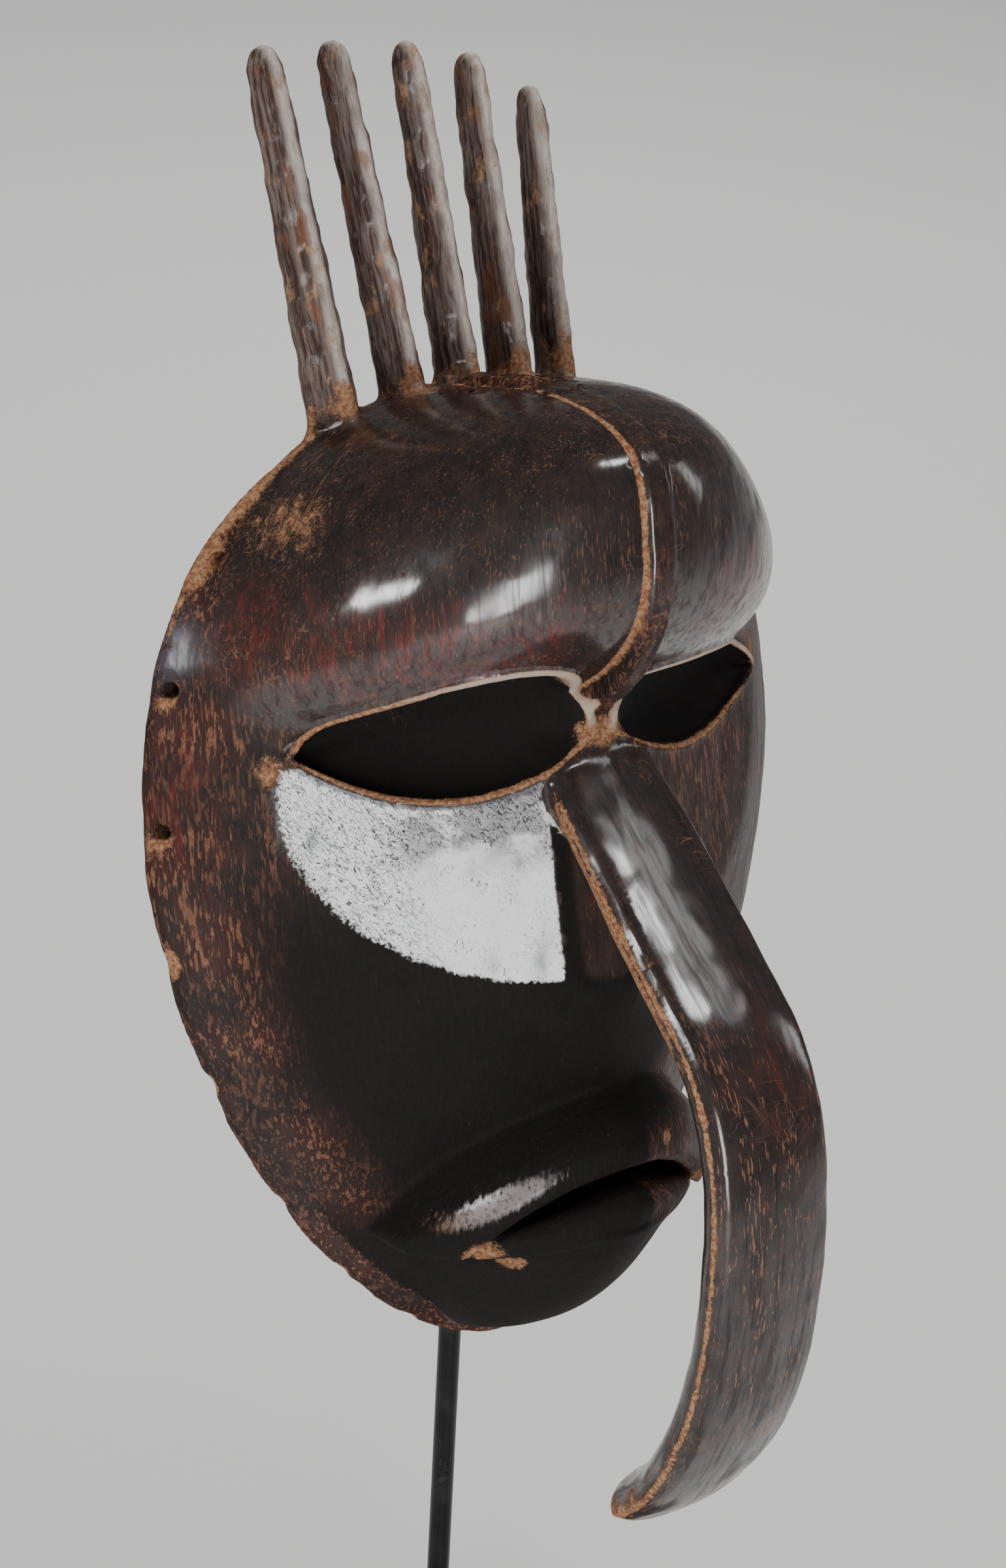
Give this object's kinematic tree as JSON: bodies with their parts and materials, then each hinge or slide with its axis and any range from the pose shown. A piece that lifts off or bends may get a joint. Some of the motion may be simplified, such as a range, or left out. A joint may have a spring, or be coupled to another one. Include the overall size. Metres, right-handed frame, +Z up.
{
  "type": "carved elephant mask on a stand",
  "caption": "Hollow carved wooden elephant mask with a hanging curved trunk and a comb of tines, held on a steel rod with a flat foot.",
  "frame": {"origin": "centre of the underside of the stand's foot", "axes": "+Z up along the rod, the mask looks along -Y with its trunk in front, +X is on the left of the mask's own face"},
  "size_m": [0.1896, 0.194, 0.4996],
  "materials": {
    "carved_wood": "dark brown, oiled and hand-polished, worn to tan on edges, with a dull crust of dust at the comb",
    "black_rod": "blackened steel, satin, lightly scuffed",
    "black_plate": "blackened steel plate, matt"
  },
  "bodies": {
    "root": {"mask": "carved_wood", "stand_rod": "black_rod", "stand_foot": "black_plate"}
  },
  "joints": []
}
